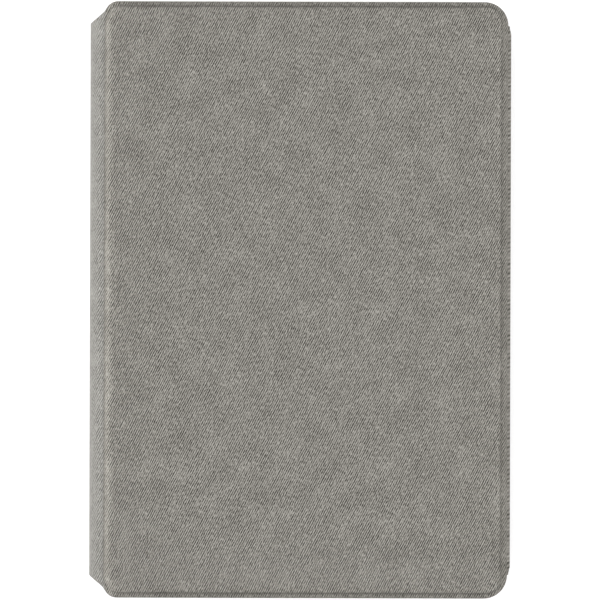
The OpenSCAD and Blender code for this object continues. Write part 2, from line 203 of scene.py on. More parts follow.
def plastic(name, base, rough=0.5, grain=0.35, grain_size=0.35, coat=0.0):
    """Moulded plastic with spark-eroded texture and a slightly uneven gloss."""
    s = Shader(name)
    place = s.add("TexCoord").outputs["Object"]
    spark = s.noise(place, 1.0 / (grain_size * MM), 2.0, 0.6)
    smear = s.noise(place, 34.0, 3.0)
    level = s.sum(1.0, s.math("MULTIPLY", spark, 0.7 * grain), s.math("MULTIPLY", smear, 0.16))
    gloss = s.sum(rough, s.math("MULTIPLY", smear, 0.3), s.math("MULTIPLY", spark, 0.25))
    s.bump(spark, 0.05 * MM, grain)
    return s.set(Base_Color=s.tint(base, level), Roughness=gloss, Coat_Weight=coat)


def metal(name, base, rough=0.35, stretch=(1.0, 0.03, 1.0)):
    """Brushed or drawn metal with fine lines along Y."""
    s = Shader(name)
    place = s.add("TexCoord").outputs["Object"]
    lined = s.add("VectorMath", {0: place, 1: stretch}, operation="MULTIPLY").outputs["Vector"]
    brush = s.noise(lined, 5200.0, 2.0, 0.6)
    smudge = s.noise(place, 60.0, 2.0)
    s.bump(brush, 0.01 * MM, 0.4)
    level = s.sum(1.0, s.math("MULTIPLY", brush, 0.25))
    gloss = s.sum(rough, s.math("MULTIPLY", smudge, 0.2), s.math("MULTIPLY", brush, 0.12))
    return s.set(Base_Color=s.tint(base, level), Metallic=1.0, Roughness=gloss)


def rubber(name, base, rough=0.75):
    """Matte rubber with a dusty bloom."""
    s = Shader(name)
    place = s.add("TexCoord").outputs["Object"]
    skin = s.noise(place, 3000.0, 2.0)
    bloom = s.noise(place, 90.0, 3.0)
    s.bump(skin, 0.02 * MM, 0.35)
    level = s.sum(1.0, s.math("MULTIPLY", bloom, 0.6), s.math("MULTIPLY", skin, 0.2))
    return s.set(Base_Color=s.tint(base, level), Roughness=rough, Specular_IOR_Level=0.3)


# Yarn colours from the darkest gap to the lightest fibre
YARN = [(0.032, 0.029, 0.024), (0.098, 0.092, 0.079), (0.226, 0.215, 0.193), (0.358, 0.344, 0.312),
        (0.505, 0.489, 0.446)]
# The spine's yarn is a lighter copy of the same yarn: a painted highlight where the spine faces the key light
LIT_SPINE_YARN = [(0.101, 0.098, 0.088), (0.192, 0.186, 0.170), (0.328, 0.319, 0.296), (0.475, 0.463, 0.434),
             (0.667, 0.652, 0.614)]
fabric_skin = twill("skin_twill", YARN)
fabric_spine = twill("spine_twill", LIT_SPINE_YARN, 0.8)
lining_cloth = microfibre("lining_microfibre", (0.050, 0.050, 0.053))
tray_plastic = plastic("tray_plastic", (0.040, 0.041, 0.044), 0.5, 0.7, 0.5)
clip_plastic = plastic("clip_plastic", (0.026, 0.026, 0.029), 0.55, 0.5, 0.4)
prop_plastic = plastic("prop_plastic", (0.060, 0.060, 0.064), 0.45, 0.7, 0.5)
deck_plastic = plastic("deck_plastic", (0.56, 0.57, 0.58), 0.42, 0.25, 0.25)
case_plastic = plastic("case_plastic", (0.46, 0.47, 0.48), 0.5)
key_plastic = plastic("key_plastic", (0.80, 0.80, 0.79), 0.38, 0.18, 0.2)
legend_ink = plastic("legend_ink", (0.11, 0.115, 0.125), 0.55, 0.1, 0.2)
dark_gloss = plastic("dark_gloss", (0.018, 0.018, 0.020), 0.25, 0.05, 0.3, 0.4)
light_glass = plastic("light_pipe", (0.62, 0.78, 0.66), 0.3, 0.05, 0.4, 0.5)
black_rubber = rubber("black_rubber", (0.016, 0.016, 0.017))
dome_rubber = rubber("dome_rubber", (0.52, 0.49, 0.41), 0.5)
steel = metal("brushed_steel", (0.56, 0.56, 0.57))
nickel = metal("nickel", (0.66, 0.65, 0.62), 0.22, (1.0, 1.0, 1.0))
foil = metal("foil_pouch", (0.55, 0.56, 0.58), 0.4, (1.0, 1.0, 1.0))
board_fibre = microfibre("board_fibre", (0.15, 0.14, 0.13))
green_mask = plastic("solder_mask", (0.02, 0.12, 0.05), 0.3, 0.1, 0.3, 0.3)
film_green = plastic("membrane_film", (0.14, 0.30, 0.15), 0.25, 0.05, 0.3, 0.4)
white_link = plastic("link_plastic", (0.74, 0.74, 0.72), 0.4)

NODE_LOOKS = {
    board_fibre: ["rear_board", "front_board", "spine_stiffener"],
    nickel: ["rear_magnets", "front_magnets"],
    steel: ["tray_hinge_base", "tray_hinge_rivets", "tray_hinge_pins", "prop_pin", "case_screws",
            "support_plate", "usb_socket"],
    tray_plastic: ["tablet_tray", "clamp_slider"],
    clip_plastic: ["lower_clips", "upper_clips"],
    prop_plastic: ["prop_flap"],
    black_rubber: ["tray_pads", "prop_foot", "mounting_tape", "screen_bumpers"],
    deck_plastic: ["keyboard_deck"],
    case_plastic: ["keyboard_bottom_case"],
    film_green: ["circuit_membrane"],
    green_mask: ["main_board"],
    foil: ["battery_cells"],
    dark_gloss: ["power_switch", "connect_button"],
    light_glass: ["indicator_lights"],
}
for look, names in NODE_LOOKS.items():
    for name in names:
        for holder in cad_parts[name].material_slots:
            holder.material = look


# Moulded and stamped parts get their small edge radius in mm, and smooth shading round their curved walls
EDGE_RADII = {
    "clamp_slider": 0.25, "lower_clips": 0.3, "upper_clips": 0.3, "prop_foot": 0.2, "screen_bumpers": 0.25,
    "tray_pads": 0.15, "tray_hinge_base": 0.1, "power_switch": 0.15, "usb_socket": 0.1,
}
ROUND_PIECES = [
    "tablet_tray", "prop_flap", "keyboard_deck", "keyboard_bottom_case", "tray_hinge_pins",
    "tray_hinge_rivets", "prop_pin", "case_screws", "connect_button", "indicator_lights",
]
SHARP_ANGLE = 24              # edges that turn further than this, in degrees, stay crisp

smoothing = bpy.data.node_groups.new("smooth_by_angle", "GeometryNodeTree")
for side in ("INPUT", "OUTPUT"):
    smoothing.interface.new_socket("Geometry", in_out=side, socket_type="NodeSocketGeometry")
shape_in, shape_out, normals, turn, crisp = (smoothing.nodes.new(kind) for kind in (
    "NodeGroupInput", "NodeGroupOutput", "GeometryNodeSetMeshNormal", "GeometryNodeInputMeshEdgeAngle",
    "FunctionNodeCompare"))
crisp.operation = "GREATER_THAN"
crisp.inputs["B"].default_value = math.radians(SHARP_ANGLE)
for source, target in ((turn.outputs["Unsigned Angle"], crisp.inputs["A"]),
                       (crisp.outputs["Result"], normals.inputs["Edge Sharpness"]),
                       (shape_in.outputs[0], normals.inputs["Mesh"]),
                       (normals.outputs[0], shape_out.inputs[0])):
    smoothing.links.new(source, target)
normals.inputs["Remove Custom"].default_value = True

for name in [*EDGE_RADII, *ROUND_PIECES]:
    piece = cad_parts[name]
    weld = piece.modifiers.new("weld", "WELD")
    weld.merge_threshold = 0.002 * MM
    if name in EDGE_RADII:
        edge = piece.modifiers.new("edge", "BEVEL")
        edge.width = EDGE_RADII[name] * MM
        edge.segments = 2
        edge.limit_method = "ANGLE"
        edge.angle_limit = math.radians(40)
    piece.modifiers.new("smooth", "NODES").node_group = smoothing


# ---------------------------------------------------------------- mesh helpers
def make_mesh(name, points, faces, material, cloth=None, painted_light=None, relief=None, sharp=50):
    """A mesh object from points in metres, facing outwards and smooth but for edges over the sharp angle,
    with the attributes that the cloth material reads."""
    mesh = bpy.data.meshes.new(name)
    work = bmesh.new()
    corners = [work.verts.new(p) for p in points]
    for face in faces:
        work.faces.new([corners[i] for i in face])
    bmesh.ops.recalc_face_normals(work, faces=work.faces)
    work.to_mesh(mesh)
    work.free()
    if cloth:
        place = mesh.attributes.new("cloth", "FLOAT_VECTOR", "POINT")
        place.data.foreach_set("vector", [x for p in cloth for x in (p[0], p[1], 0.0)])
        # Painted light and shade as a colour factor for the cloth, and the weave's relief
        for key, values in (("painted_light", painted_light), ("relief", relief)):
            mesh.attributes.new(key, "FLOAT", "POINT").data.foreach_set("value", values)
    mesh.materials.append(material)
    mesh.shade_smooth()
    mesh.set_sharp_from_angle(angle=math.radians(sharp))
    made = bpy.data.objects.new(name, mesh)
    bpy.context.scene.collection.objects.link(made)
    return made


CORNER_STEPS = 14
FREE_CORNER = 10 * MM
SLANT_RUN = 2.9 * MM          # the straight run from a corner beside the fold to the fold itself
SLANT_STEPS = 3
LEAST_R = 0.4 * MM            # smallest corner that an outline keeps as it is inset
# Where the free edge's turned hem steps out: the start of each step from the middle, its run and its reach
HEM_STEPS = [(117 * MM, 0.4 * MM, 0.6 * MM), (115.8 * MM, 2.4 * MM, 0.6 * MM)]
LONG_STEPS = 60
SHORT_STEPS = 36


class Plan:
    """A cover's outline in the XY plane. The corners on the right are round. Those on the left turn part of
    the way and then run straight to the left edge. Each point has the X part of its outward direction."""

    def __init__(self, x0, x1, y, left, right, turn=90):
        self.x0, self.x1, self.y, self.left, self.right, self.turn = x0, x1, y, left, right, turn

    def inset(self, d):
        return Plan(self.x0 + d, self.x1 - d, self.y - d, max(self.left - d, LEAST_R),
                    max(self.right - d, LEAST_R), self.turn)

    def half(self):
        """The upper half, from the right edge's top to the left edge's top."""
        found = []
        for i in range(CORNER_STEPS + 1):
            a = math.radians(90 * i / CORNER_STEPS)
            place = Vector((self.x1 - self.right + self.right * math.cos(a),
                            self.y - self.right + self.right * math.sin(a)))
            found.append((place, math.cos(a)))
        turn = math.radians(self.turn)
        reach = self.left * math.sin(turn)
        run = 0.0 if self.turn == 90 else SLANT_RUN
        start_x = self.x0 + run * math.cos(turn) + reach
        first = found[-1][0]
        for i in range(1, SHORT_STEPS):
            found.append((first.lerp(Vector((start_x, self.y)), i / SHORT_STEPS), 0.0))
        for i in range(CORNER_STEPS + 1):
            a = turn * i / CORNER_STEPS
            place = Vector((start_x - self.left * math.sin(a), self.y - self.left * (1 - math.cos(a))))
            found.append((place, -math.sin(a)))
        end = found[-1][0]
        for i in range(1, SLANT_STEPS + 1):
            step = run * i / SLANT_STEPS
            found.append((end + Vector((-math.cos(turn), -math.sin(turn))) * step, -1.0))
        return found

    def points(self):
        upper = self.half()
        lower = [(Vector((p.x, -p.y)), n) for p, n in reversed(upper)]
        found = list(upper)
        for side in (lower, upper):
            first, last = found[-1][0], side[0][0]
            for t in FREE_STOPS if side is upper else FOLD_STOPS:
                found.append((first.lerp(last, t), side[0][1]))
            if side is lower:
                found += lower
        return found


def ring_faces(count, rings):
    """Quads between successive rings, with an end face on the first and the last."""
    faces = []
    for r in range(rings - 1):
        for i in range(count):
            j = (i + 1) % count
            faces.append((r * count + i, r * count + j, (r + 1) * count + j, (r + 1) * count + i))
    faces.append(tuple(reversed(range(count))))
    faces.append(tuple((rings - 1) * count + i for i in range(count)))
    return faces


# ---------------------------------------------------------------- cover skins
SKIN_EDGE = 1.2 * MM          # the flange's face stops this far inside the box at the free edge

SIDE_END = cover_hi.y - FREE_CORNER     # where the free edge's straight run ends
HEM_PLACES = [0.5 + sign * (start - at) / (2 * SIDE_END)
              for start, run, _ in HEM_STEPS for at in (0.0, run / 2, run) for sign in (-1, 1)]
FOLD_STOPS = [i / LONG_STEPS for i in range(1, LONG_STEPS)]
FREE_STOPS = sorted(FOLD_STOPS + HEM_PLACES)

outer = Plan(FOLD_X, cover_hi.x - SKIN_EDGE, cover_hi.y, 5.7 * MM, FREE_CORNER, 58)
panel = Plan(FOLD_X + 0.55 * MM, cover_hi.x - 3.95 * MM, cover_hi.y - 2.15 * MM, 7.2 * MM, 6.2 * MM)


def hem_reach(y):
    """How far the turned hem stands past the flange's face at the free edge, for each place along it."""
    return sum(reach * min(max((start - abs(y)) / run, 0.0), 1.0) for start, run, reach in HEM_STEPS)


# Each ring is: plan (or the share of the way from outer to panel), then depth under the top of the case in
# mm, painted light (a colour factor: painted shade on the flange and in the crease, a painted highlight on
# the ridge beside the fold) and relief, each at the ends, at the fold and at the free edge
SKIN_RINGS = [
    (outer.inset(6 * MM), (2.05, 2.05, 2.05), (0.9, 0.9, 0.9), (0.5, 0.5, 0.5)),
    (outer.inset(0.1 * MM), (2.05, 2.05, 2.05), (0.9, 0.9, 0.9), (0.5, 0.5, 0.5)),
    (outer, (1.95, 1.95, 1.95), (0.9, 0.9, 0.95), (0.5, 0.5, 0.4)),
    (outer, (1.6, 1.6, 1.6), (0.9, 0.9, 1.0), (0.5, 0.5, 0.4)),
    (outer.inset(0.08 * MM), (1.4, 1.4, 1.4), (0.9, 1.0, 1.0), (0.5, 0.5, 0.5)),
    (outer.inset(0.25 * MM), (1.2, 1.2, 1.2), (0.88, 1.0, 1.06), (0.6, 0.6, 0.4)),
    (0.35, (1.15, 1.17, 1.15), (0.87, 1.0, 1.0), (1.0, 0.5, 0.6)),
    (0.6, (1.15, 1.15, 1.15), (0.84, 1.0, 0.95), (1.0, 0.5, 0.75)),
    (0.78, (1.17, 1.13, 1.17), (0.77, 1.0, 0.92), (0.7, 0.5, 0.7)),
    (0.95, (1.2, 1.1, 1.2), (0.66, 1.0, 0.90), (0.5, 0.5, 0.7)),
    (panel.inset(0.02 * MM), (1.05, 1.03, 1.05), (0.62, 1.0, 0.90), (0.5, 0.5, 0.7)),
    (panel.inset(0.14 * MM), (0.66, 0.92, 0.66), (0.66, 1.08, 0.92), (0.6, 0.5, 0.8)),
    (panel.inset(0.4 * MM), (0.30, 0.68, 0.30), (0.82, 1.24, 0.97), (0.8, 0.5, 0.9)),
    (panel.inset(0.8 * MM), (0.08, 0.38, 0.08), (0.96, 1.42, 1.05), (0.9, 0.5, 0.95)),
    (panel.inset(1.3 * MM), (0.0, 0.13, 0.0), (0.98, 1.52, 1.08), (1.0, 0.55, 1.0)),
    (panel.inset(2.0 * MM), (0.04, 0.03, 0.04), (0.98, 1.47, 1.04), (1.0, 0.75, 1.0)),
    (panel.inset(2.8 * MM), (0.09, 0.08, 0.09), (1.0, 1.22, 1.0), (1.0, 0.95, 1.0)),
    (panel.inset(4.2 * MM), (0.12, 0.12, 0.12), (1.0, 1.04, 1.0), (1.0, 1.0, 1.0)),
]
SKIN_RINGS += [(panel.inset(d * MM), (0.12, 0.12, 0.12), (1.0, 1.0, 1.0), (1.0, 1.0, 1.0))
               for d in (6, 11, 20, 34, 52, 72)]
CREASE_RINGS = range(5, 13)   # the rings of the flange and of the crease
CORNER_LIFT = 0.3             # how much the crease's painted shade is lightened round the corners beside the fold, and its relief raised
HEM_RINGS = (1, 2, 3)         # the rings under the flange's face, which reach out as the turned hem
FLANGE_DEPTH = 1.2            # in mm; below this the cloth runs down the edge and its weave goes with it
WAVE_SIZE = 22                # waves of the padded face, per metre
WAVE_HEIGHT = 0.035           # and their height in mm


def by_side(values, lean):
    """A value for the ends, the fold side and the free edge, mixed by which way the outline faces."""
    ends, fold_side, free_side = values
    return ends + (fold_side - ends) * max(-lean, 0.0) + (free_side - ends) * max(lean, 0.0) ** 3


def cover_skin(name, body, rear):
    """Fabric drawn over the board, with a turned hem, a bonded flange, a crease and a raised panel."""
    points, cloth, painted_light, relief = [], [], [], []
    rims = (outer.points(), panel.points())
    for k, (plan, depths, painted_lights, reliefs) in enumerate(SKIN_RINGS):
        if isinstance(plan, float):
            ring = [(a.lerp(b, plan), n) for (a, n), (b, _) in zip(*rims)]
        else:
            ring = plan.points()
        for p, lean in ring:
            depth = by_side(depths, lean)
            wave = noise.noise(Vector((p.x, p.y, 3.0 if rear else 0.0)) * WAVE_SIZE) * WAVE_HEIGHT
            z = max(depth - wave * (1.0 if depth < 0.2 else 0.3), 0.0) * MM
            x = p.x + (hem_reach(p.y) if k in HEM_RINGS and lean > 0.5 else 0.0)
            drop = max(depth - FLANGE_DEPTH, 0.0)
            u, v = p.x / MM + drop * lean, p.y / MM + drop * (1 - abs(lean)) * (1 if p.y > 0 else -1)
            points.append((x, p.y, z if rear else CASE_T - z))
            cloth.append((-u - 2 * WRAP if rear else u, v))
            # Painted light: the colour factor paints shade on the flange and in the crease, and a highlight
            # on the fold-side ridge
            lift = CORNER_LIFT * math.sin(math.pi * max(-lean, 0.0)) if k in CREASE_RINGS else 0.0
            painted_light.append(by_side(painted_lights, lean) + lift)
            relief.append(by_side(reliefs, lean) + lift)
    made = make_mesh(name, points, ring_faces(len(ring), len(SKIN_RINGS)), fabric_skin, cloth, painted_light, relief)
    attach(made, body)
    return made


# ---------------------------------------------------------------- soft folds and spine
END_STEPS = 150
SOFTNESS = 0.05 * MM          # how far the folded cloth waves
FOLD_T = 1.5 * MM
TUCK = 1.2 * MM               # how far the fold's cloth runs in under the cover's skin

# The front fold's outer line in XZ, from under the cover to the spine, as mm from the fold line towards the
# spine and mm under the top of the case
FOLD_CURVE = [(-1.2, 1.12), (-0.8, 1.03), (-0.4, 1.01), (0.1, 1.02), (0.7, 1.0), (1.5, 0.98), (2.3, 1.0),
              (3.1, 1.25), (3.8, 1.72), (4.4, 2.35), (4.9, 3.15), (5.25, 4.0), (5.48, 4.85), (5.62, 5.6),
              (5.69, 6.05)]


def smooth_line(stops, count):
    """A Catmull-Rom curve through the stops, with a few points between each two."""
    found = []
    for i in range(len(stops) - 1):
        a, b, c, d = (Vector(stops[max(0, min(len(stops) - 1, i + k))]) for k in (-1, 0, 1, 2))
        for j in range(count):
            t = j / count
            found.append(0.5 * (2 * b + (c - a) * t + (2 * a - 5 * b + 4 * c - d) * t * t
                                + (3 * b - a - 3 * c + d) * t ** 3))
    return found + [Vector(stops[-1])]


def offset_line(line, distance):
    """The same line moved to its inner side."""
    found = []
    for i, p in enumerate(line):
        before, after = line[max(i - 1, 0)], line[min(i + 1, len(line) - 1)]
        t = (after - before).normalized()
        found.append(p + Vector((-t.y, t.x)) * distance)
    return found


REACH = FOLD_X - SPINE_X
curve_end = (REACH / MM, (CASE_T - FOLD_Z) / MM)
PROFILE = [Vector((FOLD_X - p.x * MM, CASE_T - p.y * MM)) for p in smooth_line(FOLD_CURVE + [curve_end], 3)]
LENGTHS = [0.0]
for a, b in zip(PROFILE, PROFILE[1:]):
    LENGTHS.append(LENGTHS[-1] + (b - a).length)
SPINE_FLAT = 2 * FOLD_Z - CASE_T
START_U = (FOLD_X + TUCK) / MM
# The middle of the cloth round the spine, measured along the cloth from x = 0 on the front cover, in mm
WRAP = -START_U + (LENGTHS[-1] + SPINE_FLAT / 2) / MM


def end_y(x):
    """Where the fold's slanted end lies, at each distance from the spine."""
    t = (x - SPINE_X) / REACH
    return SPINE_Y + (FOLD_Y - 0.25 * MM - SPINE_Y) * (0.8 * t + 0.2 * t * t)


def strip(name, outer_line, inner_line, lengths, start_u, direction, y_at, painted_lights, reliefs):
    """A closed strip of twill along the spine, backed with lining, from its two lines in XZ and its ends."""
    loop = outer_line + inner_line[::-1]
    count, half = len(loop), len(outer_line)
    points, cloth, painted_light, relief, faces = [], [], [], [], []
    for j in range(END_STEPS + 1):
        t = 2 * j / END_STEPS - 1
        for i, p in enumerate(loop):
            k = i if i < half else 2 * half - 1 - i
            y = y_at(outer_line[k].x) * t
            along = k / (half - 1)
            soft = noise.noise(Vector((p.x * 60, y * 26, p.y * 60))) * SOFTNESS * math.sin(math.pi * along)
            points.append((max(p.x + soft, SPINE_X), y, p.y))
            cloth.append((start_u + direction * lengths[k] / MM, y / MM))
            painted_light.append(painted_lights(along))
            relief.append(reliefs(along))
    for j in range(END_STEPS):
        for i in range(count):
            n = (i + 1) % count
            faces.append((j * count + i, j * count + n, (j + 1) * count + n, (j + 1) * count + i))
    faces.append(tuple(range(count)))
    faces.append(tuple(END_STEPS * count + i for i in reversed(range(count))))
    made = make_mesh(name, points, faces, fabric_spine, cloth, painted_light, relief)
    made.data.materials.append(lining_cloth)
    for face in made.data.polygons:
        if min(v % count for v in face.vertices) >= half:
            face.material_index = 1
    return made


def between(stops, t):
    """A value read from (place, value) stops in order."""
    for (t0, v0), (t1, v1) in zip(stops, stops[1:]):
        if t <= t1:
            return v0 + (v1 - v0) * max(0.0, (t - t0) / (t1 - t0))
    return stops[-1][1]


def fold_painted_light(t):
    """Painted shade in the groove beside the board, and a painted highlight where the cloth rolls over
    towards the key light.
    """
    return between([(0.0, 0.86), (0.14, 0.86), (0.2, 0.91), (0.3, 0.97), (0.45, 1.03), (1.0, 1.04)], t)


def fold_relief(t):
    return between([(0.0, 0.8), (0.1, 1.05), (0.34, 1.1), (0.44, 0.6), (1.0, 0.5)], t)


def flip(line):
    return [Vector((p.x, CASE_T - p.y)) for p in line]


INNER = offset_line(PROFILE, FOLD_T)
front_fold = strip("front_fold", PROFILE, INNER, LENGTHS, START_U, -1, end_y, fold_painted_light, fold_relief)
rear_fold = strip("rear_fold", flip(PROFILE), flip(INNER), LENGTHS, -START_U - 2 * WRAP, 1, end_y, fold_painted_light,
                  fold_relief)
SPINE_STEPS = 12
SPINE_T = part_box("spine_lining")[1].x - SPINE_X
spine_lengths = [SPINE_FLAT * i / SPINE_STEPS for i in range(SPINE_STEPS + 1)]
spine_line = [Vector((SPINE_X, FOLD_Z - length)) for length in spine_lengths]
spine_inner = [Vector((p.x + SPINE_T, p.y)) for p in spine_line]
# The spine band's colour factor of 1.04 is painted light, a slight highlight where it faces the key light
spine_band = strip("spine_band", spine_line, spine_inner, spine_lengths, START_U - LENGTHS[-1] / MM, -1,
                   lambda x: SPINE_Y, lambda t: 1.04, lambda t: 0.6)

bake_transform(front_fold)
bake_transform(rear_fold)
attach(spine_band, "spine")
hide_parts("front_hinge_fabric")
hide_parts("rear_hinge_fabric")
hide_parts("spine_outer_fabric", "spine_lining")

front_skin = cover_skin("front_cover_skin", "front_cover", False)
rear_skin = cover_skin("rear_cover_skin", "rear_cover", True)
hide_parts("front_outer_fabric")
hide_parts("rear_outer_fabric")


# ---------------------------------------------------------------- linings
def lining(name, body, rear):
    """Microfibre lining bonded to the skin, with a pressed line a few millimetres inside its edge."""
    base = outer.inset(0.15 * MM)
    levels = [
        (base.inset(5 * MM), 0.62), (base.inset(0.1 * MM), 0.7), (base, 0.6), (base, 0.18),
        (base.inset(0.12 * MM), 0.03), (base.inset(0.3 * MM), 0.0), (base.inset(2.2 * MM), 0.0),
        (base.inset(2.5 * MM), 0.12), (base.inset(2.9 * MM), 0.12), (base.inset(3.2 * MM), 0.0),
        (base.inset(30 * MM), 0.0),
    ]
    points = []
    for plan, lift in levels:
        for p, _ in plan.points():
            z = lining_lo.z + lift * MM
            points.append((p.x, p.y, CASE_T - z if rear else z))
    made = make_mesh(name, points, ring_faces(len(points) // len(levels), len(levels)), lining_cloth)
    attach(made, body)
    return made


front_lining = lining("front_cover_lining", "front_cover", False)
rear_lining = lining("rear_cover_lining", "rear_cover", True)
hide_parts("front_lining")
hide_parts("rear_lining")


# ---------------------------------------------------------------- key caps and legends
KEYS = {
    "function_keys": ["esc", *(f"F{i}" for i in range(1, 13)), "del"],
    "number_keys": ["`", "1", "2", "3", "4", "5", "6", "7", "8", "9", "0", "-"],
    "top_letter_keys": ["Q", "W", "E", "R", "T", "Y", "U", "I", "O", "P", "[", "\\"],
    "home_letter_keys": ["A", "S", "D", "F", "G", "H", "J", "K", "L", ";"],
    "bottom_letter_keys": ["Z", "X", "C", "V", "B", "N", "M", ",", "."],
    "modifier_keys": ["fn", "ctrl", "alt"],
    "key_backspace": ["delete"], "key_tab": ["tab"], "key_caps_lock": ["caps"], "key_enter": ["enter"],
    "key_shift_left": ["shift"], "key_shift_right": ["shift"], "key_command_left": ["cmd"],
    "key_command_right": ["cmd"], "space_bar": [""], "key_arrow_up": ["^"], "key_arrow_left": ["<"],
    "key_arrow_down": ["v"], "key_arrow_right": [">"],
}
WIDE_LAST = {"top_letter_keys": 1.5}      # rows whose last cap is wider, in key widths
KEY_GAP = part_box("key_tab")[0].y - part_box("top_letter_keys")[1].y
ARROW_TURN = {"^": 0, "<": 90, "v": 180, ">": 270}


def cap_boxes(node, count):
    """The place of each cap in a key node, from the left end of the row."""
    lo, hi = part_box(node)
    widths = [1.0] * (count - 1) + [WIDE_LAST.get(node, 1.0)]
    pitch = (hi.y - lo.y + KEY_GAP) / sum(widths)
    found, y = [], hi.y
    for w in widths:
        size = w * pitch - KEY_GAP
        found.append(((lo.x + hi.x) / 2, y - size / 2, hi.x - lo.x, size))
        y -= w * pitch
    return found, lo.z, hi.z


def joined(parts):
    """Several (points, faces) pairs as one."""
    points, faces = [], []
    for more, more_faces in parts:
        faces += [tuple(i + len(points) for i in f) for f in more_faces]
        points += list(more)
    return points, faces


CAP_WALL = 0.9 * MM
CAP_TOP = 1.1 * MM            # thickness of a cap over its hollow underside
# The outside of a full key, from the skirt up over the shoulder and down into the dish, as inset from its
# sides and depth under its highest point, both in mm
CAP_RINGS = [(0.0, 0.45), (0.06, 0.22), (0.2, 0.07), (0.45, 0.0), (0.9, 0.02), (2.2, 0.10), (4.2, 0.16)]
CAP_R = 1.4 * MM              # corner radius of a cap, and the least that it shrinks to in the dish
DISH_R = 0.5 * MM
FULL_KEY = 15 * MM            # shorter keys have the same rings, scaled down
CORNER_POINTS = 6
STEM_R = 1.5 * MM
STEM_SIDES = 24


def cap_mesh(cx, cy, dx, dy, z0, z1):
    """A hollow key cap with rounded shoulders, a shallow dish and a stem below, as points and faces."""
    fit = min(1.0, dx / FULL_KEY) * MM
    levels = [(CAP_WALL, z0 + CAP_TOP), (CAP_WALL, z1), (0.0, z1)]
    levels += [(inset * fit, z0 + depth * MM) for inset, depth in CAP_RINGS]
    points = []
    for inset, z in levels:
        hx, hy = dx / 2 - inset, dy / 2 - inset
        r = max(CAP_R - inset * 0.5, DISH_R)
        for sx, sy, start in ((1, 1, 0), (-1, 1, 90), (-1, -1, 180), (1, -1, 270)):
            centre = Vector((cx + sx * (hx - r), cy + sy * (hy - r)))
            for i in range(CORNER_POINTS):
                a = math.radians(start + 90 * i / (CORNER_POINTS - 1))
                p = centre + r * Vector((math.cos(a), math.sin(a)))
                points.append((p.x, p.y, z))
    stem = []
    for z in (z0 + CAP_TOP - 0.1 * MM, z1):
        for i in range(STEM_SIDES):
            a = math.tau * i / STEM_SIDES
            stem.append((cx + STEM_R * math.cos(a), cy + STEM_R * math.sin(a), z))
    return joined([(points, ring_faces(4 * CORNER_POINTS, len(levels))), (stem, ring_faces(STEM_SIDES, 2))])


LETTER_SIZE = 5.2 * MM
WORD_SIZE = 3.6 * MM
ARROW_SIZE = 3.4 * MM
INK_T = 0.02 * MM


def legend(text, size, cx, cy, z):
    """A legend's letters as a thin closed mesh on the cap, read from the keyboard's near side."""
    if text in ARROW_TURN:
        a = math.radians(ARROW_TURN[text])
        turned = Matrix.Rotation(a, 2)
        flat = [turned @ Vector(p) * size / 2 for p in ((0, 1), (-0.9, -0.7), (0.9, -0.7))]
        points = [Vector((p.x, p.y, h)) for h in (0.0, INK_T) for p in flat]
        faces = [(2, 1, 0), (3, 4, 5), (0, 1, 4, 3), (1, 2, 5, 4), (2, 0, 3, 5)]
    else:
        curve = bpy.data.curves.new("legend", "FONT")
        curve.body = text
        curve.size = size
        curve.extrude = INK_T / 2
        curve.resolution_u = 3
        curve.align_x = "CENTER"
        curve.align_y = "CENTER"
        holder = bpy.data.objects.new("legend", curve)
        bpy.context.scene.collection.objects.link(holder)
        bpy.context.view_layer.update()
        mesh = bpy.data.meshes.new_from_object(holder.evaluated_get(bpy.context.evaluated_depsgraph_get()))
        points = [v.co.copy() for v in mesh.vertices]
        faces = [tuple(f.vertices) for f in mesh.polygons]
        bpy.data.objects.remove(holder)
        bpy.data.curves.remove(curve)
        bpy.data.meshes.remove(mesh)
    turn = Matrix(((0, -1, 0), (-1, 0, 0), (0, 0, -1)))
    return [turn @ p + Vector((cx, cy, z)) for p in points], faces


def solid_box(centre, size, tilt=0.0):
    """A box about its centre, tilted about the Y axis, as points and faces."""
    turn = Matrix.Rotation(tilt, 3, "Y")
    points = [Vector(centre) + turn @ Vector((x * size[0] / 2, y * size[1] / 2, z * size[2] / 2))
              for z in (-1, 1) for x, y in ((-1, -1), (1, -1), (1, 1), (-1, 1))]
    return points, ring_faces(4, 2)


DOME_RINGS = [(2.6, 0.0), (2.55, 0.12), (2.3, 0.42), (1.85, 0.74), (1.5, 0.92)]   # radius and height in mm
dome_lo, dome_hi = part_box("dome_sheet")
DOME_SIDES = 20
SHEET_T = 0.2 * MM
dome_base = dome_hi.z - SHEET_T
dome_top = dome_lo.z + 0.02 * MM
LINK_TILT = math.radians(8)
LINK_SPREAD = 4.4 * MM        # from a cap's middle to each of its two links
LINK_LONG = 9 * MM
LINK_SHORT = 5 * MM           # for the caps of the short rows
LINK_W = 0.8 * MM
LINK_T = 0.35 * MM
TALL_CAP = 12 * MM            # caps deeper than this take long links and full size legends


def dome_mesh(cx, cy):
    """A rubber dome with its plunger, standing on the sheet and reaching down to the cap's stem."""
    points = []
    for r, h in [*DOME_RINGS, (DOME_RINGS[-1][0], (dome_base - dome_top) / MM)]:
        for i in range(DOME_SIDES):
            a = math.tau * i / DOME_SIDES
            points.append((cx + r * MM * math.cos(a), cy + r * MM * math.sin(a), dome_base - h * MM))
    return points, ring_faces(DOME_SIDES, len(DOME_RINGS) + 1)


def under_key(name, parts, material):
    """Parts between the cap and the plate, fixed to the front cover; nothing here folds them flat as the key
    goes down.
    """
    made = make_mesh(name, *joined(parts), material)
    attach(made, "front_cover")
    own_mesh(made)
    return made


sheet_middle = ((dome_lo.x + dome_hi.x) / 2, (dome_lo.y + dome_hi.y) / 2, dome_hi.z - SHEET_T / 2)
sheet_size = (dome_hi.x - dome_lo.x, dome_hi.y - dome_lo.y, SHEET_T)
dome_sheet = make_mesh("dome_base_sheet", *solid_box(sheet_middle, sheet_size), dome_rubber)
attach(dome_sheet, "front_cover")
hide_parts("dome_sheet")

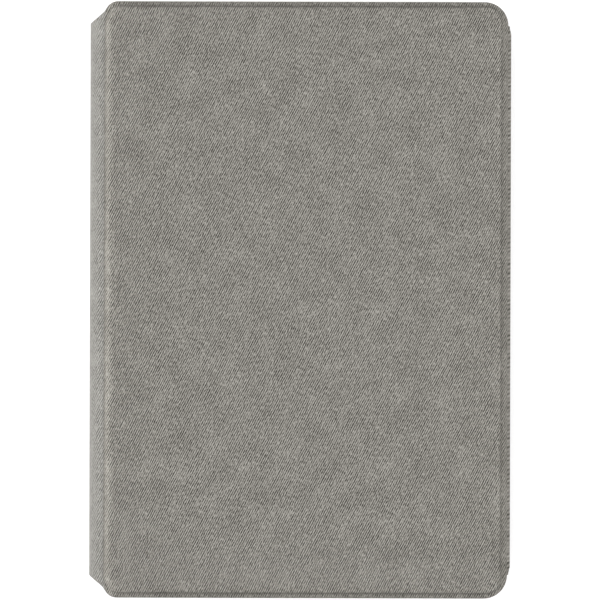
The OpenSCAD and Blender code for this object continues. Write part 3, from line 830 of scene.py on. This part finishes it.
for node, texts in KEYS.items():
    boxes, z0, z1 = cap_boxes(node, len(texts))
    body = node + "_body"
    under_key(node + "_domes", [dome_mesh(cx, cy) for cx, cy, _, _ in boxes], dome_rubber)
    arms = [solid_box((cx, cy + LINK_SPREAD * side, (z1 + dome_base) / 2),
                      (LINK_LONG if dx > TALL_CAP else LINK_SHORT, LINK_W, LINK_T), LINK_TILT * side)
            for cx, cy, dx, _ in boxes for side in (-1, 1)]
    links = under_key(node + "_links", arms, white_link)
    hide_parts("scissor_links")
    caps = make_mesh(node + "_caps", *joined([cap_mesh(*b, z0, z1) for b in boxes]), key_plastic)
    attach(caps, body)
    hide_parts(node)
    letters = []
    for text, (cx, cy, dx, dy) in zip(texts, boxes):
        if text:
            single = len(text) == 1
            size = (LETTER_SIZE if single else WORD_SIZE) * min(1.0, dx / TALL_CAP)
            dish = (0.16 if single else 0.12) * MM
            letters.append(legend(text, ARROW_SIZE if text in ARROW_TURN else size, cx, cy, z0 + dish))
    if letters:
        ink = make_mesh(node + "_legends", *joined(letters), legend_ink)
        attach(ink, body)


# ---------------------------------------------------------------- clamp springs
WIRE_R = 0.18 * MM
TURN_STEPS = 10
WIRE_SIDES = 5
spring_lo, spring_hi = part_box("clamp_springs")
SPRING_R = (spring_hi.z - spring_lo.z) / 2


def coil(cy, cz):
    """A close-wound spring that lies along X, as points and faces."""
    run = spring_hi.x - spring_lo.x - 2 * WIRE_R
    steps = round(run / (2 * WIRE_R)) * TURN_STEPS
    points = []
    for i in range(steps + 1):
        a = math.tau * i / TURN_STEPS
        out = Vector((0, math.cos(a), math.sin(a)))
        middle = Vector((spring_lo.x + WIRE_R + run * i / steps, cy, cz)) + (SPRING_R - WIRE_R) * out
        for k in range(WIRE_SIDES):
            b = math.tau * k / WIRE_SIDES
            points.append(middle + WIRE_R * (math.cos(b) * out + math.sin(b) * Vector((1, 0, 0))))
    return points, ring_faces(WIRE_SIDES, steps + 1)


spring_z = (spring_lo.z + spring_hi.z) / 2
coils = [coil(y, spring_z) for y in (spring_lo.y + SPRING_R, spring_hi.y - SPRING_R)]
springs = make_mesh("stretching_springs", *joined(coils), steel)
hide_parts("clamp_springs")
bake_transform(springs)


# ---------------------------------------------------------------- floor, lights, camera
def area_light(name, size, power, place, aim=(0, 0, 0)):
    lamp = bpy.data.lights.new(name, "AREA")
    lamp.shape = "RECTANGLE"
    lamp.size, lamp.size_y = size
    lamp.energy = power
    holder = bpy.data.objects.new(name, lamp)
    holder.location = place
    holder.rotation_euler = (Vector(aim) - Vector(place)).to_track_quat("-Z", "Y").to_euler()
    bpy.context.scene.collection.objects.link(holder)


floor_paint = Shader("floor_paint")
grit = floor_paint.noise(floor_paint.add("TexCoord").outputs["Object"], 180.0)
floor_level = floor_paint.sum(1.0, floor_paint.math("MULTIPLY", grit, 0.03))
floor_paint.set(Base_Color=floor_paint.tint((0.9, 0.9, 0.9), floor_level), Roughness=0.9,
                Emission_Color=(1, 1, 1, 1), Emission_Strength=0.42)
floor_corners = [(-3, -3, 0), (3, -3, 0), (3, 3, 0), (-3, 3, 0)]
floor = make_mesh("floor", floor_corners, [(0, 1, 2, 3)], floor_paint.material)
floor.location.z = -0.4 * MM

world = bpy.data.worlds.new("studio")
world.use_nodes = True
world.node_tree.nodes["Background"].inputs["Color"].default_value = (1, 1, 1, 1)
world.node_tree.nodes["Background"].inputs["Strength"].default_value = 0.72
bpy.context.scene.world = world
area_light("key", (1.6, 1.6), 8.0, (-0.7, 0.25, 1.5))
area_light("fill", (2.0, 2.0), 8.0, (0.35, -0.3, 1.8))

bpy.context.scene.view_settings.view_transform = "Standard"

lens = bpy.data.cameras.new("camera")
lens.lens = 200
lens.clip_end = 20
VIEW_WIDTH = 255.2 * MM       # how much of the case's top the frame is wide
VIEW_TURN = math.radians(0.16)
camera = bpy.data.objects.new("camera", lens)
camera.location = (0.06 * MM, -0.04 * MM, CASE_T + VIEW_WIDTH * lens.lens / lens.sensor_width)
camera.rotation_euler.z = VIEW_TURN
bpy.context.scene.collection.objects.link(camera)
bpy.context.scene.camera = camera
